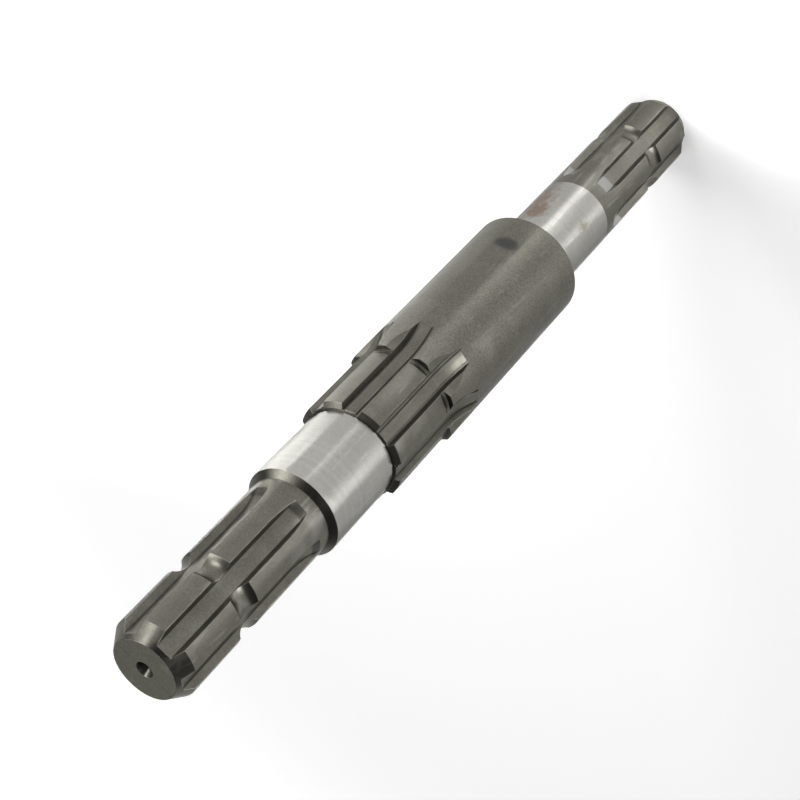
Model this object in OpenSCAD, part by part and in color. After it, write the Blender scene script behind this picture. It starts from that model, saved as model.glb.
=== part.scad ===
// Gearbox through shaft, one turned and milled steel bar.
// From the foot up: far splined stub, far bearing seat, plain barrel,
// hub spline, near bearing seat and near splined stub.
// The axis is +Z and the shaft stands on the face of its far end.

/* [Lengths along the axis] */
// Far stub, from its end face to the lead-in cone of the far seat
far_stub_len = 88; // [84:0.5:120]
// Lead-in cone between the far stub and the far seat
far_lead_len = 1.5; // [1:0.1:4]
// Far bearing seat, without its lead-in cone
far_seat_len = 45.5; // [20:0.5:80]
// Plain barrel between its two shoulders
barrel_len = 103.5; // [60:0.5:200]
// Hub spline, from the barrel to the near bearing seat
hub_len = 38; // [20:0.5:60]
// Near bearing seat, without its lead-in cone
near_seat_len = 38.9; // [20:0.1:80]
// Lead-in cone between the near seat and the near stub
near_lead_len = 2.4; // [1:0.1:4]
// Near stub, from the lead-in cone to its end face
near_stub_len = 87.2; // [84:0.1:120]

/* [Diameters] */
// Both splined stubs over their teeth
stub_d = 34.8; // [33.8:0.1:34.9]
// Far bearing seat
far_seat_d = 35; // [35:0.1:38]
// Barrel
barrel_d = 50; // [48:0.5:56]
// Hub spline over its teeth
hub_d = 46; // [45:0.1:47]
// Near bearing seat
near_seat_d = 40; // [38:0.1:40.6]

/* [Stub splines] */
// Teeth on each stub
stub_teeth = 6; // [6:1:6]
// Width of a stub tooth
stub_tooth_w = 8.7; // [8:0.1:9.4]
// Diameter at the floor of the stub flutes
stub_root_d = 28.9; // [28:0.1:30]
// Radius of the disc cutter that milled the stub flutes
stub_cutter_r = 36; // [25:1:45]
// Plain neck left between the near run-outs and the lead-in cone
near_neck_len = 5.7; // [2:0.1:12]
// Plain neck left between the far run-outs and the lead-in cone
far_neck_len = 5.7; // [2:0.1:12]
// Distance of each locking groove from its end face
lock_dist = 38; // [30:0.5:45]
// Radius of the round bottom of the locking groove
lock_r = 6.8; // [5:0.1:8]
// Diameter at the bottom of the locking groove
lock_root_d = 29.4; // [29.2:0.1:32]

/* [End faces] */
// Flat of the near end face
near_face_d = 26.6; // [24:0.1:30]
// Length of the near end cone
near_cone_len = 6.4; // [4:0.1:8]
// Flat of the far end face, which is the foot
far_face_d = 28.4; // [26:0.1:30]
// Length of the far end cone
far_cone_len = 6.4; // [4:0.1:8]
// Mouth of the lathe centre hole in each end face
centre_mouth_d = 7; // [5:0.1:9]
// Pilot drilled behind the mouth
centre_pilot_d = 3.2; // [2:0.1:4]
// Depth of the pilot to its full diameter
centre_pilot_depth = 8; // [7:0.5:14]

/* [Hub spline] */
// Teeth on the hub spline
hub_teeth = 8; // [8:1:8]
// Turn of the hub flutes against the stub flutes, in degrees
hub_turn = 12.4; // [0:0.1:45]
// Width of a hub tooth
hub_tooth_w = 9; // [8:0.1:10]
// Diameter of the raised land on each flute floor
hub_root_d = 42; // [41.8:0.1:43]
// Width of that land
hub_land_w = 4.8; // [3:0.1:5.5]
// Depth of the corner reliefs beside the land
hub_relief = 0.5; // [0.2:0.05:0.55]
// Radius of the disc cutter that milled the hub flutes
hub_cutter_r = 34; // [25:1:45]
// Full-depth travel of that cutter past the shoulder
hub_overrun = 1.6; // [0:0.1:4]
// Diameter at which the cutter starts to slope back the tooth edges
hub_slope_d = 45.8; // [44:0.1:46]
// Axial length of the chamfer on the tooth ends
tooth_end_len = 1.2; // [0.5:0.1:3]

/* [Shoulders] */
// Chamfer on the far rim of the barrel
rim_chamfer = 0.8; // [0.2:0.1:2]
// Chamfer on the rim of the barrel at the hub spline
step_chamfer = 0.2; // [0.1:0.05:0.5]
// Fillet in the corner of the far seat and the barrel
shoulder_fillet = 0.8; // [0.3:0.1:1.5]
// Length of the turned relief in the corner of the hub teeth and the barrel
relief_len = 2.7; // [2.4:0.1:4]
// Depth of that relief
relief_depth = 0.3; // [0.1:0.05:0.4]
// Radius of its corner
relief_r = 0.8; // [0.4:0.1:1]

/* [Ground test spot on the barrel] */
// Height of the spot above the far shoulder
spot_rise = 20; // [8:0.5:40]
// Angle of the spot about the axis
spot_angle = -56.7; // [-180:0.1:180]
// Depth of the spot at its middle
spot_depth = 0.7; // [0.2:0.1:1.2]
// Radius of the grinding disc
spot_disc_r = 60; // [30:1:100]
// Radius of the rounded edge of that disc
spot_edge_r = 9; // [5:0.5:15]

/* [Hidden] */
$fn = 96;

// Heights of the steps above the foot
far_seat_z = far_stub_len + far_lead_len;
barrel_z = far_seat_z + far_seat_len;
hub_z = barrel_z + barrel_len;
near_seat_z = hub_z + hub_len;
near_lead_z = near_seat_z + near_seat_len;
near_stub_z = near_lead_z + near_lead_len;
total_len = near_stub_z + near_stub_len;

stub_r = stub_d / 2;
stub_root_r = stub_root_d / 2;
hub_r = hub_d / 2;
hub_root_r = hub_root_d / 2;
barrel_r = barrel_d / 2;

// Axial distance in which the disc cutter climbs out of a stub flute
stub_climb = sqrt(pow(stub_cutter_r, 2) - pow(stub_cutter_r - stub_r + stub_root_r, 2));
// How much deeper the cutter bites where it stops
dwell = 0.02;
// Turn by which each run-out reaches back into its straight flute
back_angle = 10;
// How far every cutter reaches outside the metal that it cuts
reach = 1.5;
// The tooth ends are chamfered to just under the flute floor
tooth_end_r = hub_root_r - 0.3;
// Lathe centres have a 60 degree cone, and twist drills a 118 degree tip
centre_cone_len = (centre_mouth_d - centre_pilot_d) / 2 / tan(30);
centre_tip_len = centre_pilot_d / 2 / tan(59);
// The stub flutes lie symmetrically to the front, at -90 degrees
front = -90;
steel = [0.47, 0.46, 0.43];

// A point at distance t along a tooth's centre line, which is turned by a from
// the middle of the flute, and o off that line towards the flute
function beside_tooth(t, o, a) = [t * sin(a) - o * cos(a), t * cos(a) + o * sin(a)];
function mirrored(points) = [for (i = [len(points) - 1 : -1 : 0]) [-points[i][0], points[i][1]]];
function along(r, half_w) = sqrt(r * r - half_w * half_w);

// Section of a stub flute, with x across it and y away from the shaft's axis
module stub_flute_section() {
    half_w = stub_tooth_w / 2;
    turn = 180 / stub_teeth;
    side = [
        beside_tooth(along(stub_root_r, half_w) - reach, half_w, turn),
        beside_tooth(along(stub_r, half_w) + reach, half_w, turn)
    ];
    difference() {
        polygon(concat(side, mirrored(side)));
        circle(r = stub_root_r);
    }
}

// Section of a hub flute: a raised land between two corner reliefs, flanks
// parallel to the teeth, and slopes that break the tooth edges
module hub_flute_section() {
    half_w = hub_tooth_w / 2;
    turn = 180 / hub_teeth;
    slope_t = along(hub_slope_d / 2, half_w);
    slope_len = barrel_r - hub_slope_d / 2 + reach;
    side = [
        beside_tooth(along(hub_root_r, half_w) - reach, half_w, turn),
        beside_tooth(slope_t, half_w, turn),
        beside_tooth(slope_t + slope_len, half_w - slope_len, turn)
    ];
    difference() {
        polygon(concat(side, [[0, barrel_r + 2 * reach]], mirrored(side)));
        circle(r = hub_root_r - hub_relief);
        intersection() {
            circle(r = hub_root_r);
            translate([-hub_land_w / 2, 0]) square([hub_land_w, 2 * hub_root_r]);
        }
    }
}

// Copies of the child, spaced evenly about the axis from the angle first
module around(count, first) {
    for (i = [0 : count - 1]) rotate(first + i * 360 / count) children();
}

// Straight part of a flute that is cut in from height 0
module straight_flute(full_len) {
    translate([0, 0, -reach]) linear_extrude(full_len + reach) children();
}

// End of a flute, where the disc cutter stops at full_len, sinks in by dwell
// and is lifted out on its own radius
module run_out(full_len, cutter_r, floor_r, depth) {
    lift = acos(1 - (depth + reach) / cutter_r);
    translate([0, floor_r + cutter_r - dwell, full_len])
        rotate([-90, 0, 0]) rotate([0, 90, 0]) rotate([0, 0, -lift])
            rotate_extrude(angle = lift + back_angle)
                translate([floor_r + cutter_r, 0]) rotate(90) children();
}

// Flutes cut in from an end face at height 0, with run-outs that end at run_end
module stub_flutes(run_end) {
    around(stub_teeth, front - 90) straight_flute(run_end - stub_climb) stub_flute_section();
}
module stub_run_outs(run_end) {
    around(stub_teeth, front - 90)
        run_out(run_end - stub_climb, stub_cutter_r, stub_root_r, stub_r - stub_root_r)
            stub_flute_section();
}

// Flutes cut in from the near seat at height 0, with run-outs into the barrel
module hub_flutes() {
    around(hub_teeth, front - 90 - hub_turn) straight_flute(hub_len + hub_overrun)
        hub_flute_section();
}
module hub_run_outs() {
    around(hub_teeth, front - 90 - hub_turn)
        run_out(hub_len + hub_overrun, hub_cutter_r, hub_root_r, barrel_r - hub_root_r)
            hub_flute_section();
}

// Half section of the turned blank
module blank_section() {
    polygon([
        [0, 0], [far_face_d / 2, 0], [stub_r, far_cone_len],
        [stub_r, far_stub_len], [far_seat_d / 2, far_seat_z], [far_seat_d / 2, barrel_z],
        [barrel_r - rim_chamfer, barrel_z], [barrel_r, barrel_z + rim_chamfer],
        [barrel_r, hub_z - step_chamfer], [barrel_r - step_chamfer, hub_z],
        [hub_r, hub_z], [hub_r, near_seat_z - tooth_end_len], [tooth_end_r, near_seat_z],
        [near_seat_d / 2, near_seat_z], [near_seat_d / 2, near_lead_z],
        [stub_r, near_stub_z], [stub_r, total_len - near_cone_len],
        [near_face_d / 2, total_len], [0, total_len]
    ]);
}

// Material that fills the corner of the far seat and the barrel
module shoulder_fillet_section() {
    translate([far_seat_d / 2, barrel_z - shoulder_fillet]) difference() {
        translate([-reach, 0]) square([reach + shoulder_fillet, shoulder_fillet + reach]);
        translate([shoulder_fillet, 0]) circle(r = shoulder_fillet);
    }
}

// Relief that is turned into the corner of the hub teeth and the barrel: a
// slope of 15 degrees, a flat floor and a round corner
module relief_section() {
    floor_r = hub_r - relief_depth;
    slope_end = relief_len + reach / tan(15);
    translate([floor_r, hub_z]) difference() {
        polygon([
            [0, 0], [relief_depth + reach, 0], [relief_depth + reach, slope_end],
            [0, relief_len - relief_depth / tan(15)]
        ]);
        difference() {
            translate([-reach, -reach]) square(reach + relief_r);
            translate([relief_r, relief_r]) circle(r = relief_r);
        }
    }
}

// Half section of a lathe centre hole in an end face at height 0
module centre_section() {
    polygon([
        [0, -reach], [centre_mouth_d / 2, -reach], [centre_mouth_d / 2, 0],
        [centre_pilot_d / 2, centre_cone_len], [centre_pilot_d / 2, centre_pilot_depth],
        [0, centre_pilot_depth + centre_tip_len]
    ]);
}

module turned_blank() {
    rotate_extrude() difference() {
        union() {
            blank_section();
            shoulder_fillet_section();
        }
        for (z = [lock_dist, total_len - lock_dist])
            translate([lock_root_d / 2 + lock_r, z]) circle(r = lock_r);
        relief_section();
        centre_section();
        translate([0, total_len]) mirror([0, 1]) centre_section();
    }
}

// Shallow hollow that a grinding disc, held across the barrel, leaves in it
module test_spot() {
    rotate(spot_angle) translate([barrel_r + spot_disc_r - spot_depth, 0, barrel_z + spot_rise])
        rotate_extrude() translate([spot_disc_r - spot_edge_r, 0]) circle(r = spot_edge_r);
}

module from_near_end() {
    translate([0, 0, total_len]) mirror([0, 0, 1]) children();
}
module from_near_seat() {
    translate([0, 0, near_seat_z]) mirror([0, 0, 1]) children();
}

module shaft() {
    color(steel) difference() {
        turned_blank();
        stub_flutes(far_stub_len - far_neck_len);
        stub_run_outs(far_stub_len - far_neck_len);
        from_near_end() stub_flutes(near_stub_len - near_neck_len);
        from_near_end() stub_run_outs(near_stub_len - near_neck_len);
        from_near_seat() hub_flutes();
        from_near_seat() hub_run_outs();
        test_spot();
    }
}

shaft();
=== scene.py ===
# A splined gearbox shaft standing on its far end, seen as in the photograph.
import math

import bmesh
import bpy
from mathutils import Matrix, Vector
from mathutils.bvhtree import BVHTree


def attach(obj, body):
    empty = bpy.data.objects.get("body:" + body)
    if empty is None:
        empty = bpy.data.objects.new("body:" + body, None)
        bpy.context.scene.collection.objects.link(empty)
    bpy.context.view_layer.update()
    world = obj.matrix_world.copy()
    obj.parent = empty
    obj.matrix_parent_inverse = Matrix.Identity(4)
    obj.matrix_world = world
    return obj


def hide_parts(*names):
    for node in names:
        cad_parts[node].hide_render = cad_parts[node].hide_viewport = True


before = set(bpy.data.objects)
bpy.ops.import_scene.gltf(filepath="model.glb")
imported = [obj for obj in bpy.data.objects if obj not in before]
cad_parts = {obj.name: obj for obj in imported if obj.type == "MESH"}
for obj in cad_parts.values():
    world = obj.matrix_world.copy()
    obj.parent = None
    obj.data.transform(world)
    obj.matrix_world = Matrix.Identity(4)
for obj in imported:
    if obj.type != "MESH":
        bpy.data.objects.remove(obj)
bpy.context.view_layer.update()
scene = bpy.context.scene
print("frame loaded")


# camera at the photograph's viewing angle

cameraView = {
    "lens": 81.0, "sensor": 36.0,            # mm
    "azimuth": -87.2,        # degrees about the shaft's axis
    "distance": 0.54363, "height": 0.7055,   # metres, from the axis and above the floor
    "downTilt": 40.601,      # degrees below level
    "sideStep": 0.00024,
    "farEndOnPicture": (0.68620, 0.72741),   # the way to the far end, right and up
    "nearest": 0.05, "furthest": 30.0,
}


def makeCamera(v):
    turn, tilt = math.radians(v["azimuth"]), math.radians(v["downTilt"])
    out = Vector((math.cos(turn), math.sin(turn), 0))
    side = Vector((math.sin(turn), -math.cos(turn), 0))
    up = Vector((0, 0, 1))
    forward = -math.sin(tilt) * up - math.cos(tilt) * out
    along = -math.cos(tilt) * up + math.sin(tilt) * out
    right, top = v["farEndOnPicture"]
    imageRight = right * along + top * side
    imageUp = top * along - right * side
    data = bpy.data.cameras.new("camera")
    data.lens, data.sensor_width = v["lens"], v["sensor"]
    data.clip_start, data.clip_end = v["nearest"], v["furthest"]
    camera = bpy.data.objects.new("camera", data)
    place = out * v["distance"] + up * v["height"] + side * v["sideStep"]
    turned = Matrix((imageRight, imageUp, -forward)).transposed().to_4x4()
    camera.matrix_world = Matrix.Translation(place) @ turned
    scene.collection.objects.link(camera)
    scene.camera = camera


makeCamera(cameraView)
print("camera placed")


# helpers for node trees

def addNode(tree, kind, inputs=None, **settings):
    made = tree.nodes.new(kind)
    for key, value in settings.items():
        setattr(made, key, value)
    for key, value in (inputs or {}).items():
        if isinstance(value, bpy.types.NodeSocket):
            tree.links.new(value, made.inputs[key])
        else:
            made.inputs[key].default_value = value
    return made


def maths(tree, what, a, b=0.5):
    return addNode(tree, "ShaderNodeMath", {0: a, 1: b}, operation=what).outputs[0]


def remap(tree, value, low, high, toLow=0.0, toHigh=1.0, kind="LINEAR"):
    limits = {0: value, 1: low, 2: high, 3: toLow, 4: toHigh}
    return addNode(tree, "ShaderNodeMapRange", limits, interpolation_type=kind).outputs[0]


def mixColours(tree, share, a, b, how="MIX"):
    inputs = {0: share, 6: a, 7: b}
    return addNode(tree, "ShaderNodeMix", inputs, data_type="RGBA", blend_type=how).outputs[2]


def noise(tree, place, scale, detail, roughness=0.5):
    inputs = {"Vector": place, "Scale": scale, "Detail": detail, "Roughness": roughness}
    return addNode(tree, "ShaderNodeTexNoise", inputs).outputs[0]


def rgb(colour):
    return (*colour, 1.0)


def newGroup(name, inputs, outputs):
    tree = bpy.data.node_groups.new(name, "ShaderNodeTree")
    for label, value in inputs.items():
        socket = tree.interface.new_socket(label, in_out="INPUT", socket_type="NodeSocketFloat")
        socket.default_value = value
    for label in outputs:
        tree.interface.new_socket(label, in_out="OUTPUT", socket_type="NodeSocketFloat")
    place = tree.nodes.new("ShaderNodeTexCoord").outputs["Object"]
    return tree, tree.nodes.new("NodeGroupInput").outputs, tree.nodes.new("NodeGroupOutput").inputs, place


def useGroup(tree, group, inputs):
    return addNode(tree, "ShaderNodeGroup", inputs, node_tree=group).outputs


# effects that several of the steels share

effects = {
    "ringDetail": 3.0, "ringRoughness": 0.62,         # the single rings of the tool
    "bandScale": 0.11, "bandDetail": 2.0,             # and wider bands of them
    "cloudDetail": 4.0, "cloudRoughness": 0.6, "cloudShare": 0.6, "bandShare": 0.4,
    "fleckDetail": 2.0, "fleckRoughness": 0.7,
    # the part of each noise that is stretched over 0 to 1
    "spread": (0.3, 0.7), "fleckSpread": (0.36, 0.64), "gateSpread": (0.5, 0.62),
    "scratchTurns": ((0.35, 0.2, 0.6), (-0.5, 0.9, -0.4)), "scratchStretch": (1.0, 1.0, 0.09),
    "scratchCount": 45.0, "scratchWidth": 0.03, "gateScale": 85.0,
    "scratchColour": (0.72, 0.71, 0.69),
}


def makeToolMarks(v):
    # fine rings round the axis, as turning, grinding and a milling disc all leave
    tree, given, out, place = newGroup(
        "toolMarks", {"Pitch": 0.0006, "Wander": 18.0}, ["Height", "Shade"])
    parts = addNode(tree, "ShaderNodeSeparateXYZ", {0: place}).outputs
    level = maths(tree, "DIVIDE", parts[2], given["Pitch"])
    around = addNode(tree, "ShaderNodeCombineXYZ", {
        0: maths(tree, "MULTIPLY", parts[0], given["Wander"]),
        1: maths(tree, "MULTIPLY", parts[1], given["Wander"]), 2: level}).outputs[0]
    rings = noise(tree, around, 1.0, v["ringDetail"], v["ringRoughness"])
    bands = noise(tree, around, v["bandScale"], v["bandDetail"])
    tree.links.new(rings, out["Height"])
    tree.links.new(remap(tree, bands, *v["spread"]), out["Shade"])
    return tree


def makeMottle(v):
    # cloudy patches and small pale and dark flecks
    tree, given, out, place = newGroup("mottle", {"Patch": 60.0, "Fleck": 900.0}, ["Cloud", "Fleck"])
    cloud = noise(tree, place, given["Patch"], v["cloudDetail"], v["cloudRoughness"])
    fleck = noise(tree, place, given["Fleck"], v["fleckDetail"], v["fleckRoughness"])
    tree.links.new(remap(tree, cloud, *v["spread"]), out["Cloud"])
    tree.links.new(remap(tree, fleck, *v["fleckSpread"]), out["Fleck"])
    return tree


def makeScratches(v):
    # sparse hair scratches that cross each other, left by handling
    tree, given, out, place = newGroup(
        "scratches", {"Count": v["scratchCount"], "Width": v["scratchWidth"]}, ["Mask"])
    worn = None
    for turn in v["scratchTurns"]:
        laid = addNode(tree, "ShaderNodeMapping", {
            "Vector": place, "Rotation": turn, "Scale": v["scratchStretch"]}).outputs[0]
        cells = addNode(tree, "ShaderNodeTexVoronoi", {
            "Vector": laid, "Scale": given["Count"], "Randomness": 1.0},
            feature="DISTANCE_TO_EDGE").outputs[0]
        line = remap(tree, cells, given["Width"], 0.0)
        gate = remap(tree, noise(tree, place, v["gateScale"], 1.0), *v["gateSpread"])
        line = maths(tree, "MULTIPLY", line, gate)
        worn = line if worn is None else maths(tree, "MAXIMUM", worn, line)
    tree.links.new(worn, out["Mask"])
    return tree


toolMarks = makeToolMarks(effects)
mottle = makeMottle(effects)
scratches = makeScratches(effects)


# the steels: one finish for each way the surface was cut, and two that carry painted light: paler broken
# edges, partly a painted highlight, and the relief's hollow in painted shade

finishes = {
    # pitch, markHeight and grain are in metres; spin turns the grain, and rim is how much the steel
    # brightens where it is seen from the side
    "barrelSteel": {
        "dark": (0.118, 0.114, 0.096), "pale": (0.158, 0.153, 0.131), "fleck": 0.20,
        "roughness": 0.36, "roughSpread": 0.05, "anisotropic": 0.30, "spin": 0.25,
        "pitch": 0.00095, "wander": 140.0, "markHeight": 0.000080, "grain": 0.000006,
        "patch": 45.0, "fleckScale": 1300.0, "scratch": 0.06, "metal": 1.0, "rim": 0.60,
    },
    "turnedSteel": {
        "dark": (0.116, 0.112, 0.094), "pale": (0.156, 0.152, 0.130), "fleck": 0.12,
        "roughness": 0.32, "roughSpread": 0.05, "anisotropic": 0.35, "spin": 0.25,
        "pitch": 0.00045, "wander": 30.0, "markHeight": 0.000009, "grain": 0.000003,
        "patch": 60.0, "fleckScale": 1300.0, "scratch": 0.12, "metal": 1.0, "rim": 0.60,
    },
    "groundSteel": {
        "dark": (0.320, 0.315, 0.294), "pale": (0.412, 0.407, 0.381), "fleck": 0.05,
        "roughness": 0.20, "roughSpread": 0.04, "anisotropic": 0.35, "spin": 0.25,
        "pitch": 0.00022, "wander": 12.0, "markHeight": 0.000004, "grain": 0.0000008,
        "patch": 40.0, "fleckScale": 1300.0, "scratch": 0.22, "metal": 1.0, "rim": 0.40,
    },
    "milledSteel": {
        "dark": (0.098, 0.095, 0.079), "pale": (0.146, 0.142, 0.120), "fleck": 0.13,
        "roughness": 0.34, "roughSpread": 0.06, "anisotropic": 0.30, "spin": 0.25,
        "pitch": 0.0009, "wander": 60.0, "markHeight": 0.000045, "grain": 0.000004,
        "patch": 70.0, "fleckScale": 1300.0, "scratch": 0.05, "metal": 0.80, "rim": 0.60,
    },
    "facedSteel": {
        "dark": (0.158, 0.155, 0.128), "pale": (0.222, 0.217, 0.186), "fleck": 0.12,
        "roughness": 0.50, "roughSpread": 0.05, "anisotropic": 0.0, "spin": 0.0,
        "pitch": 0.0006, "wander": 40.0, "markHeight": 0.0, "grain": 0.000008,
        "patch": 90.0, "fleckScale": 1300.0, "scratch": 0.12, "metal": 1.0, "rim": 0.60,
    },
    # the broken edges: paler as worn metal, and partly a painted highlight along the edges
    "wornEdgeAndHighlight": {
        "dark": (0.135, 0.131, 0.112), "pale": (0.27, 0.265, 0.24), "fleck": 0.15,
        "roughness": 0.34, "roughSpread": 0.08, "anisotropic": 0.0, "spin": 0.0,
        "pitch": 0.0006, "wander": 30.0, "markHeight": 0.0, "grain": 0.000003,
        "patch": 160.0, "fleckScale": 1600.0, "scratch": 0.0, "metal": 1.0, "rim": 0.60,
    },
    # painted shade: the relief's walls made nearly black, for the shade in its hollow
    "reliefPaintedShade": {
        "dark": (0.030, 0.029, 0.024), "pale": (0.055, 0.053, 0.045), "fleck": 0.15,
        "roughness": 0.42, "roughSpread": 0.05, "anisotropic": 0.0, "spin": 0.0,
        "pitch": 0.0006, "wander": 30.0, "markHeight": 0.0, "grain": 0.000003,
        "patch": 90.0, "fleckScale": 1300.0, "scratch": 0.0, "metal": 1.0, "rim": 0.60,
    },
}


def makeSteel(name, v, shared):
    made = bpy.data.materials.new(name)
    made.use_nodes = True
    tree = made.node_tree
    shader = tree.nodes["Principled BSDF"]
    marks = useGroup(tree, toolMarks, {"Pitch": v["pitch"], "Wander": v["wander"]})
    clouds = useGroup(tree, mottle, {"Patch": v["patch"], "Fleck": v["fleckScale"]})
    lines = useGroup(tree, scratches, {
        "Count": shared["scratchCount"], "Width": shared["scratchWidth"]})["Mask"]
    shade = maths(tree, "ADD", maths(tree, "MULTIPLY", clouds["Cloud"], shared["cloudShare"]),
                  maths(tree, "MULTIPLY", marks["Shade"], shared["bandShare"]))
    colour = mixColours(tree, shade, rgb(v["dark"]), rgb(v["pale"]))
    fleck = remap(tree, clouds["Fleck"], 0, 1, 1 - v["fleck"], 1 + v["fleck"])
    tone = addNode(tree, "ShaderNodeCombineXYZ", {0: fleck, 1: fleck, 2: fleck}).outputs[0]
    colour = mixColours(tree, 1.0, colour, tone, "MULTIPLY")
    brighter = maths(tree, "MULTIPLY", lines, v["scratch"])
    colour = mixColours(tree, brighter, colour, rgb(shared["scratchColour"]))
    rough = remap(tree, clouds["Cloud"], 0, 1, v["roughness"] + v["roughSpread"],
                  v["roughness"] - v["roughSpread"])
    height = maths(tree, "ADD", maths(tree, "MULTIPLY", marks["Height"], v["markHeight"]),
                   maths(tree, "MULTIPLY", clouds["Fleck"], v["grain"]))
    bump = addNode(tree, "ShaderNodeBump", {"Height": height, "Strength": 1.0, "Distance": 1.0})
    tree.links.new(bump.outputs[0], shader.inputs["Normal"])
    shader.inputs["Metallic"].default_value = v["metal"]
    shader.inputs["Anisotropic"].default_value = v["anisotropic"]
    shader.inputs["Anisotropic Rotation"].default_value = v["spin"]
    shader.inputs["Specular Tint"].default_value = rgb((v["rim"],) * 3)
    if v["anisotropic"]:
        grain = addNode(tree, "ShaderNodeTangent", direction_type="RADIAL", axis="Z")
        tree.links.new(grain.outputs[0], shader.inputs["Tangent"])
    return made, tree, shader, colour, rough


# stains, and the painted shade of a dark spot on the barrel, that lie at one place each, in the order in
# which they are laid on each steel

stainsAndShade = {
    # the place is azimuth in degrees, radius, height; dull is the roughness where the stain or painted
    # shade is full, and matt how much less metallic the steel is there
    "rustFilm": {"on": ("groundSteel",), "at": (-28.0, 0.0175, 0.108), "size": (0.0075, 0.0075, 0.0190),
                 "ragged": 0.8, "soft": 0.8, "strength": 0.75, "dull": 0.38, "matt": 0.0,
                 "colour": (0.250, 0.190, 0.150)},
    "smudge": {"on": ("groundSteel",), "at": (-108.5, 0.0175, 0.1082), "size": (0.0029, 0.0029, 0.0056),
               "ragged": 1.0, "soft": 0.90, "strength": 0.65, "dull": 0.34, "matt": 0.0,
               "colour": (0.220, 0.212, 0.150)},
    "rust": {"on": ("groundSteel",), "at": (-38.0, 0.0175, 0.1155), "size": (0.0062, 0.0062, 0.0080),
             "ragged": 0.55, "soft": 0.55, "strength": 0.85, "dull": 0.62, "matt": 0.7,
             "colour": (0.190, 0.135, 0.098)},
    # painted shade: a dark oval on the barrel, the dark that a small shallow spot there shows
    "barrelSpotShade": {"on": ("barrelSteel", "milledSteel"), "at": (-57.6, 0.0247, 0.1548),
                    "size": (0.0072, 0.0072, 0.0050), "ragged": 0.10, "soft": 0.50,
                    "strength": 0.85, "dull": 0.42, "matt": 0.0, "colour": (0.050, 0.050, 0.049)},
}
stainAndShadeEdge = {"scale": 380.0, "detail": 4.0, "roughness": 0.6, "reach": 2.2}   # for ragged rims


def makeStainAndShadeMask(v):
    # 1 inside a rounded patch, 0 outside, with a ragged rim
    tree = bpy.data.node_groups.new("stainAndShadeMask", "ShaderNodeTree")
    for label, start in (("Centre", (0, 0, 0)), ("Size", (1, 1, 1))):
        socket = tree.interface.new_socket(label, in_out="INPUT", socket_type="NodeSocketVector")
        socket.default_value = start
    for label, start in (("Ragged", 0.5), ("Soft", 0.3)):
        socket = tree.interface.new_socket(label, in_out="INPUT", socket_type="NodeSocketFloat")
        socket.default_value = start
    tree.interface.new_socket("Mask", in_out="OUTPUT", socket_type="NodeSocketFloat")
    given = tree.nodes.new("NodeGroupInput").outputs
    place = tree.nodes.new("ShaderNodeTexCoord").outputs["Object"]
    away = addNode(tree, "ShaderNodeVectorMath", {0: place, 1: given["Centre"]},
                   operation="SUBTRACT").outputs[0]
    away = addNode(tree, "ShaderNodeVectorMath", {0: away, 1: given["Size"]},
                   operation="DIVIDE").outputs[0]
    length = addNode(tree, "ShaderNodeVectorMath", {0: away}, operation="LENGTH").outputs["Value"]
    rim = noise(tree, place, v["scale"], v["detail"], v["roughness"])
    bumpy = maths(tree, "MULTIPLY", maths(tree, "SUBTRACT", rim, 0.5), given["Ragged"])
    length = maths(tree, "ADD", length, maths(tree, "MULTIPLY", bumpy, v["reach"]))
    inner = maths(tree, "SUBTRACT", 1.0, given["Soft"])
    mask = remap(tree, length, inner, 1.0, 1.0, 0.0, "SMOOTHSTEP")
    tree.links.new(mask, tree.nodes.new("NodeGroupOutput").inputs["Mask"])
    return tree


stainAndShadeMask = makeStainAndShadeMask(stainAndShadeEdge)


def addStainAndShade(tree, shader, colour, rough, v):
    azimuth, radius, height = v["at"]
    turn = math.radians(azimuth)
    centre = (math.cos(turn) * radius, math.sin(turn) * radius, height)
    mask = useGroup(tree, stainAndShadeMask, {"Centre": centre, "Size": v["size"], "Ragged": v["ragged"],
                                      "Soft": v["soft"]})["Mask"]
    mask = maths(tree, "MULTIPLY", mask, v["strength"])
    colour = mixColours(tree, mask, colour, rgb(v["colour"]))
    rough = addNode(tree, "ShaderNodeMix", {0: mask, 2: rough, 3: v["dull"]}).outputs[0]
    if v["matt"]:
        metal = shader.inputs["Metallic"]
        less = maths(tree, "MULTIPLY", mask, v["matt"])
        tree.links.new(maths(tree, "SUBTRACT", metal.default_value, less), metal)
    return colour, rough


# two fine scores on one line across the near end face, left by the lathe's driver
driverMarks = {"azimuth": 2.6, "from": 0.0072, "to": 0.0112, "fade": 0.001, "half": 0.00014,
               "core": 0.4, "above": 0.4, "share": 0.8, "colour": (0.055, 0.052, 0.045)}


def addDriverMarks(tree, colour, v):
    place = tree.nodes.new("ShaderNodeTexCoord").outputs["Object"]
    spun = addNode(tree, "ShaderNodeVectorRotate", {"Vector": place, "Angle": math.radians(-v["azimuth"])},
                   rotation_type="Z_AXIS").outputs[0]
    parts = addNode(tree, "ShaderNodeSeparateXYZ", {0: spun}).outputs
    along, across = maths(tree, "ABSOLUTE", parts[0]), maths(tree, "ABSOLUTE", parts[1])
    line = remap(tree, across, v["half"], v["half"] * v["core"])
    line = maths(tree, "MULTIPLY", line, remap(tree, along, v["from"] - v["fade"], v["from"]))
    line = maths(tree, "MULTIPLY", line, remap(tree, along, v["to"] + v["fade"], v["to"]))
    line = maths(tree, "MULTIPLY", line, maths(tree, "GREATER_THAN", parts[2], v["above"]))
    return mixColours(tree, maths(tree, "MULTIPLY", line, v["share"]), colour, rgb(v["colour"]))


# a painted dark line of shade on each side of every hub flute's floor, where the cutter's corners bit
# deeper
fluteGrooveShade = {"count": 8, "turn": -102.4, "at": 0.00255, "outer": 0.000308, "inner": 0.00011,
               "from": 0.2195, "to": 0.2765, "share": 0.75, "colour": (0.02, 0.02, 0.016)}


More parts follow.
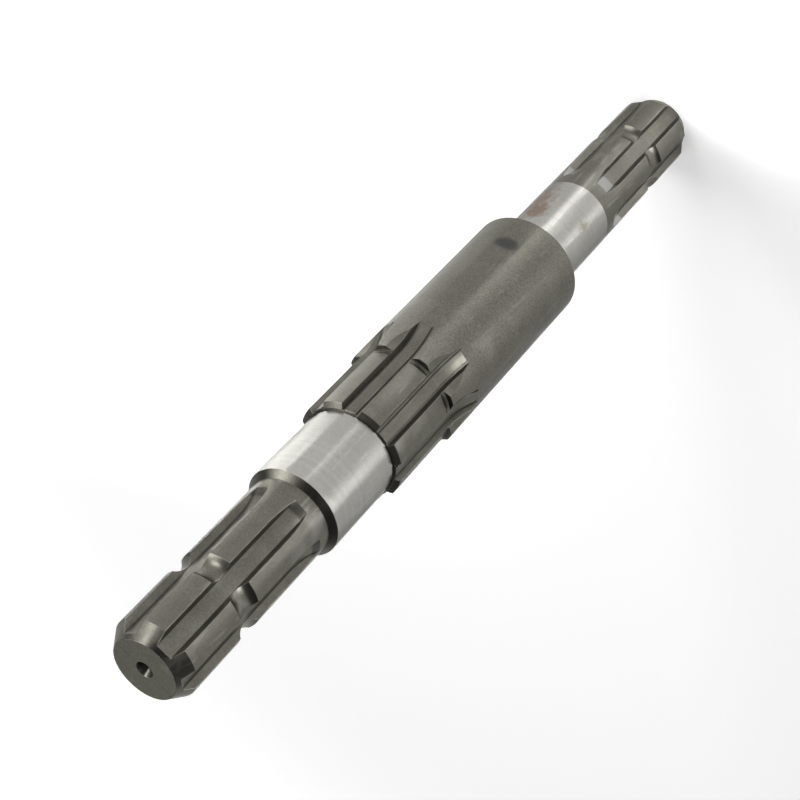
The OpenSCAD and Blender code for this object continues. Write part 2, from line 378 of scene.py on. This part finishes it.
def addFluteGrooveShade(tree, colour, v):
    place = tree.nodes.new("ShaderNodeTexCoord").outputs["Object"]
    parts = addNode(tree, "ShaderNodeSeparateXYZ", {0: place}).outputs
    step = 2 * math.pi / v["count"]
    angle = maths(tree, "ARCTAN2", parts[1], parts[0])
    # the added steps keep the angle positive, and the half step puts each floor's middle at zero
    angle = maths(tree, "SUBTRACT", angle, math.radians(v["turn"]) - (v["count"] + 1.5) * step)
    angle = maths(tree, "SUBTRACT", maths(tree, "MODULO", angle, step), step / 2)
    square = maths(tree, "ADD", maths(tree, "MULTIPLY", parts[0], parts[0]),
                   maths(tree, "MULTIPLY", parts[1], parts[1]))
    across = maths(tree, "MULTIPLY", maths(tree, "SINE", angle), maths(tree, "SQRT", square))
    off = maths(tree, "ABSOLUTE", maths(tree, "SUBTRACT", maths(tree, "ABSOLUTE", across), v["at"]))
    line = remap(tree, off, v["outer"], v["inner"])
    line = maths(tree, "MULTIPLY", line, maths(tree, "GREATER_THAN", parts[2], v["from"]))
    line = maths(tree, "MULTIPLY", line, maths(tree, "LESS_THAN", parts[2], v["to"]))
    return mixColours(tree, maths(tree, "MULTIPLY", line, v["share"]), colour, rgb(v["colour"]))


# the last of the cut at the stubs' flutes: painted shade darkens it on the near stub, and a painted
# highlight brightens it on the far one
fluteEndShadeAndHighlight = {
    # painted shade at the near stub's flute ends
    "near": {"from": 0.3219, "to": 0.3262, "soft": 0.0012, "share": 0.70,
             "colour": (0.025, 0.024, 0.019)},
    # painted highlight: the far stub's flute ends lightened as if mirroring the bright floor
    "far": {"from": 0.0725, "to": 0.0800, "soft": 0.0016, "share": 0.62,
            "colour": (0.42, 0.415, 0.40)},
}


def addFluteEndShadeAndHighlight(tree, colour, v):
    place = tree.nodes.new("ShaderNodeTexCoord").outputs["Object"]
    level = addNode(tree, "ShaderNodeSeparateXYZ", {0: place}).outputs[2]
    band = maths(tree, "MULTIPLY", remap(tree, level, v["from"] - v["soft"], v["from"]),
                 remap(tree, level, v["to"] + v["soft"], v["to"]))
    return mixColours(tree, maths(tree, "MULTIPLY", band, v["share"]), colour, rgb(v["colour"]))


steels = {}
for name, values in finishes.items():
    made, tree, shader, colour, rough = makeSteel(name, values, effects)
    # stains, and the barrel spot's painted shade
    for stainAndShade in stainsAndShade.values():
        if name in stainAndShade["on"]:
            colour, rough = addStainAndShade(tree, shader, colour, rough, stainAndShade)
    if name == "milledSteel":
        # painted shade: dark lines in the hub flutes' corners
        colour = addFluteGrooveShade(tree, colour, fluteGrooveShade)
        # painted shade and painted highlight at the stubs' flute ends
        for end in fluteEndShadeAndHighlight.values():
            colour = addFluteEndShadeAndHighlight(tree, colour, end)
    if name == "facedSteel":
        colour = addDriverMarks(tree, colour, driverMarks)
    tree.links.new(colour, shader.inputs["Base Color"])
    tree.links.new(rough, shader.inputs["Roughness"])
    steels[name] = made
print("steels made")


# the shaft's own mesh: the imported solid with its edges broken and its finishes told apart

shaftBody = {
    "length": 0.405,
    "seats": ((0.0895, 0.135, 0.0175), (0.2765, 0.3154, 0.020)),   # from, to, radius
    "flutes": ((0.0, 0.088, 0.0174), (0.221, 0.2765, 0.023), (0.3178, 0.405, 0.0174)),
    "barrel": (0.135, 0.2385, 0.025),
    "relief": 0.0032,        # length of the turned relief at the barrel's shoulder
    "coneAndGroove": 0.046,  # from either end to past its lead-in cone and locking groove
    "edgeWidth": 0.00026, "edgeSteps": 2,    # how far and how finely the stubs' edges are broken
    "hubShare": 0.50, "lipShare": 0.30,      # the hub's edges, and the lips inside its flutes
    "barrelShare": 0.12,     # edges on the barrel's own surface stay almost sharp
    "crossShare": 0.25,      # the stubs' edges that run across the shaft
    "roomShare": 0.4,        # the most that a broken edge takes of the face beside it
    "edgeAngle": 24.0,       # degrees, above which an edge counts as one
    "flatAngle": 0.6,        # degrees, below which neighbouring faces are joined
    "joinWithin": 2e-6, "strayLimit": 0.00014,
    # how near a face or an edge lies to the surface that it counts as part of
    "endSlack": 0.00006, "seatSlack": 0.0004, "toothSlack": 0.00012, "barrelSlack": 0.0001,
    "hubEdgeSlack": 0.0004, "barrelEdgeSlack": 0.0003, "shoulderSlack": 0.001,
    # the share of a face's normal, or of an edge, that lies along the axis
    "endTilt": 0.9, "reliefTilt": -0.1, "coneTilt": 0.02, "lengthwise": 0.5,
}


def finishAt(v, centre, normal):
    level, radius, slack = centre.z, math.hypot(centre.x, centre.y), v["endSlack"]
    fromEnd = min(level, v["length"] - level)
    if abs(normal.z) > v["endTilt"] and fromEnd < slack:
        return "facedSteel"
    for low, high, size in v["seats"]:
        if low - slack < level < high + slack and size - v["seatSlack"] < radius < size + slack:
            return "groundSteel"
    low, high, size = v["barrel"]
    # the relief's walls that face the barrel take the nearly black painted shade
    if high - slack < level < high + v["relief"] and normal.z < v["reliefTilt"]:
        return "reliefPaintedShade"
    if low - slack < level < high + slack:
        atShoulder = min(level - low, high - level) < v["shoulderSlack"]
        return "barrelSteel" if atShoulder or radius > size - v["barrelSlack"] else "milledSteel"
    # the lead-in cones and the locking grooves slope, and the flutes there don't
    if fromEnd < v["coneAndGroove"] and abs(normal.z) > v["coneTilt"]:
        return "turnedSteel"
    for low, high, size in v["flutes"]:
        if low - slack < level < high + slack and radius <= size - v["toothSlack"]:
            return "milledSteel"
    return "turnedSteel"


def roomBeside(edge, face):
    # how far the face reaches from the edge
    start, end = (corner.co for corner in edge.verts)
    way = (end - start).normalized()
    return max((corner.co - start - way * way.dot(corner.co - start)).length for corner in face.verts)


def edgeShare(v, edge):
    # how much of the full width the edge is broken by
    start, end = (corner.co for corner in edge.verts)
    middle, way = (start + end) / 2, end - start
    radius = math.hypot(middle.x, middle.y)
    barrelTop, barrelRadius = v["barrel"][1:]
    hubFoot, hubTop, hubRadius = v["flutes"][1]
    if radius > barrelRadius - v["barrelEdgeSlack"] and middle.z < barrelTop - v["shoulderSlack"]:
        return v["barrelShare"]
    if hubFoot < middle.z < hubTop:
        return v["hubShare"] if radius > hubRadius - v["hubEdgeSlack"] else v["lipShare"]
    if v["seats"][0][0] < middle.z < v["seats"][1][1]:
        return v["hubShare"]
    return 1.0 if abs(way.z) > v["lengthwise"] * way.length else v["crossShare"]


def settle(body, limit):
    # keeps the broken edges as real faces, and lays any corner that strays back on the surface
    surface = BVHTree.FromObject(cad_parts["shaft"], bpy.context.evaluated_depsgraph_get())
    made = body.evaluated_get(bpy.context.evaluated_depsgraph_get())
    finished = bpy.data.meshes.new_from_object(made)
    body.modifiers.clear()
    body.data = finished
    for corner in finished.vertices:
        nearest, _, _, away = surface.find_nearest(corner.co)
        if away > limit:
            corner.co = nearest
    finished.update()


def makeShaftBody(v):
    mesh = bmesh.new()
    mesh.from_mesh(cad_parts["shaft"].data)
    bmesh.ops.remove_doubles(mesh, verts=mesh.verts, dist=v["joinWithin"])
    bmesh.ops.dissolve_limit(mesh, angle_limit=math.radians(v["flatAngle"]), verts=mesh.verts,
                             edges=mesh.edges)
    order = list(finishes)
    broken = mesh.edges.layers.float.new("bevel_weight_edge")
    sharp = math.radians(v["edgeAngle"])
    for edge in mesh.edges:
        turned = edge.calc_face_angle_signed(0.0)
        edge.smooth = abs(turned) < sharp
        if turned > sharp:
            # never more than the faces beside the edge have room for
            room = min(roomBeside(edge, face) for face in edge.link_faces)
            edge[broken] = min(edgeShare(v, edge), v["roomShare"] * room / v["edgeWidth"])
    for face in mesh.faces:
        face.smooth = True
        face.material_index = order.index(finishAt(v, face.calc_center_median(), face.normal))
    data = bpy.data.meshes.new("shaftBody")
    mesh.to_mesh(data)
    mesh.free()
    for name in order:
        data.materials.append(steels[name])
    body = bpy.data.objects.new("shaftBody", data)
    scene.collection.objects.link(body)
    edges = body.modifiers.new("brokenEdges", "BEVEL")
    edges.width, edges.segments = v["edgeWidth"], v["edgeSteps"]
    edges.limit_method, edges.harden_normals = "WEIGHT", True
    edges.use_clamp_overlap = False
    edges.miter_outer = "MITER_ARC"
    # the broken edges take the paler steel that is partly a painted highlight
    edges.material = order.index("wornEdgeAndHighlight")
    settle(body, v["strayLimit"])
    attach(body, "root")
    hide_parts("shaft")


makeShaftBody(shaftBody)
print("shaft made")


# plain pale floor, and a world that is pale at the horizon

floorLook = {
    "reach": 9.0, "corners": 64,
    "colour": (0.80, 0.80, 0.80),
    # what camera, gloss and glass rays see on top of the lit floor, near the foot and far off
    "glow": 0.42, "farGlow": 1.0, "from": 0.55, "to": 1.20,
}
# from and to are how high above level a ray points, as a share of straight up
worldLook = {"horizon": 1.0, "zenith": 0.06, "from": 0.055, "to": 0.20}


def makeFloor(v):
    data = bpy.data.meshes.new("floor")
    mesh = bmesh.new()
    bmesh.ops.create_circle(mesh, cap_ends=True, radius=v["reach"], segments=v["corners"])
    mesh.to_mesh(data)
    mesh.free()
    floor = bpy.data.objects.new("floor", data)
    scene.collection.objects.link(floor)
    made = bpy.data.materials.new("paleFloor")
    made.use_nodes = True
    tree = made.node_tree
    tree.nodes.clear()
    path = addNode(tree, "ShaderNodeLightPath").outputs
    seen = maths(tree, "MAXIMUM", path["Is Camera Ray"], path["Is Glossy Ray"])
    seen = maths(tree, "MAXIMUM", seen, path["Is Transmission Ray"])
    cloth = addNode(tree, "ShaderNodeBsdfDiffuse", {"Color": rgb(v["colour"]), "Roughness": 0.0})
    place = tree.nodes.new("ShaderNodeTexCoord").outputs["Object"]
    away = addNode(tree, "ShaderNodeVectorMath", {0: place}, operation="LENGTH").outputs["Value"]
    level = remap(tree, away, v["from"], v["to"], v["glow"], v["farGlow"], "SMOOTHSTEP")
    glow = addNode(tree, "ShaderNodeEmission", {
        "Color": rgb((1, 1, 1)), "Strength": maths(tree, "MULTIPLY", seen, level)})
    both = addNode(tree, "ShaderNodeAddShader", {0: cloth.outputs[0], 1: glow.outputs[0]})
    addNode(tree, "ShaderNodeOutputMaterial", {"Surface": both.outputs[0]})
    data.materials.append(made)


def makeWorld(v):
    world = bpy.data.worlds.new("studio")
    scene.world = world
    world.use_nodes = True
    tree = world.node_tree
    tree.nodes.clear()
    way = addNode(tree, "ShaderNodeTexCoord").outputs["Generated"]
    up = addNode(tree, "ShaderNodeSeparateXYZ", {0: way}).outputs[2]
    level = remap(tree, up, v["from"], v["to"], v["horizon"], v["zenith"], "SMOOTHSTEP")
    sky = addNode(tree, "ShaderNodeBackground", {"Color": rgb((1, 1, 1)), "Strength": level})
    addNode(tree, "ShaderNodeOutputWorld", {"Surface": sky.outputs[0]})


makeFloor(floorLook)
makeWorld(worldLook)
print("floor and world made")


# soft lamps: where each hangs and the spot on the floor or shaft that it faces

lamps = {
    # azimuth in degrees, distance from the axis and height in metres, for the lamp and its aim;
    # width and length in metres, power in watts and spread in degrees
    "key": {"from": (8, 1.0, 1.35), "to": (30, 0.10, 0.15), "size": (0.8, 0.8),
            "power": 5.5, "spread": 120},
    "back": {"from": (92, 0.95, 2.1), "to": (92, 0.45, 0.0), "size": (1.0, 0.9),
             "power": 3.6, "spread": 100},
    "footPool": {"from": (-92, 0.30, 0.34), "to": (-92, 0.055, 0.0), "size": (0.03, 0.03),
                 "power": 0.019, "spread": 8},
    "footLeft": {"from": (-57, 0.10, 0.17), "to": (-57, 0.095, 0.0), "size": (0.02, 0.08),
                 "power": 0.011, "spread": 16},
    "footRight": {"from": (-127, 0.09, 0.17), "to": (-127, 0.085, 0.0), "size": (0.02, 0.07),
                  "power": 0.006, "spread": 16},
    "leftFloor": {"from": (46, 0.37, 0.70), "to": (46, 0.37, 0.0), "size": (0.42, 0.40),
                  "power": 0.90, "spread": 24},
    "leftPool": {"from": (37, 0.445, 0.45), "to": (37, 0.445, 0.0), "size": (0.56, 0.13),
                 "power": 2.0, "spread": 16},
    "frontStrip": {"from": (-60, 0.34, 0.32), "to": (-60, 0.34, 0.0), "size": (0.03, 0.22),
                   "power": 0.030, "spread": 16},
    "frontInner": {"from": (-66, 0.19, 0.30), "to": (-66, 0.19, 0.0), "size": (0.07, 0.16),
                   "power": 0.070, "spread": 16},
    "neckSide": {"from": (-4, 0.445, 0.30), "to": (-4, 0.445, 0.0), "size": (0.08, 0.08),
                 "power": 0.58, "spread": 12},
    "sideStrip": {"from": (-127, 0.33, 0.45), "to": (-127, 0.33, 0.0), "size": (0.10, 0.40),
                  "power": 0.095, "spread": 28},
    "stubPool": {"from": (-141, 0.45, 0.40), "to": (-141, 0.45, 0.0), "size": (0.11, 0.12),
                 "power": 0.20, "spread": 20},
    "lowWall": {"from": (-118, 2.0, 0.40), "to": (-118, 0.0, 0.25), "size": (0.56, 0.80),
                "power": 1.7, "spread": 60},
    "frontFill": {"from": (-32, 1.5, 0.95), "to": (0, 0, 0.36), "size": (0.55, 0.55),
                  "power": 2.6, "spread": 100},
    "farPool": {"from": (-105, 0.95, 0.8), "to": (-105, 0.95, 0.0), "size": (0.8, 0.5),
                "power": 1.0, "spread": 50},
}


def fromAxis(azimuth, distance, height):
    turn = math.radians(azimuth)
    return Vector((math.cos(turn) * distance, math.sin(turn) * distance, height))


def makeLamp(name, v):
    light = bpy.data.lights.new(name, "AREA")
    light.shape = "RECTANGLE"
    light.size, light.size_y = v["size"]
    light.energy, light.spread = v["power"], math.radians(v["spread"])
    lamp = bpy.data.objects.new(name, light)
    place, aim = fromAxis(*v["from"]), fromAxis(*v["to"])
    back = (place - aim).normalized()
    # a lamp's length points away from the shaft, and its width lies across that
    outward = fromAxis(v["from"][0], 1, 0)
    along = (outward - back * outward.dot(back)).normalized()
    turned = Matrix((along.cross(back), along, back)).transposed().to_4x4()
    lamp.matrix_world = Matrix.Translation(place) @ turned
    lamp.visible_camera = False
    scene.collection.objects.link(lamp)


for name, values in lamps.items():
    makeLamp(name, values)
print("lamps placed")

scene.view_settings.view_transform = "Standard"
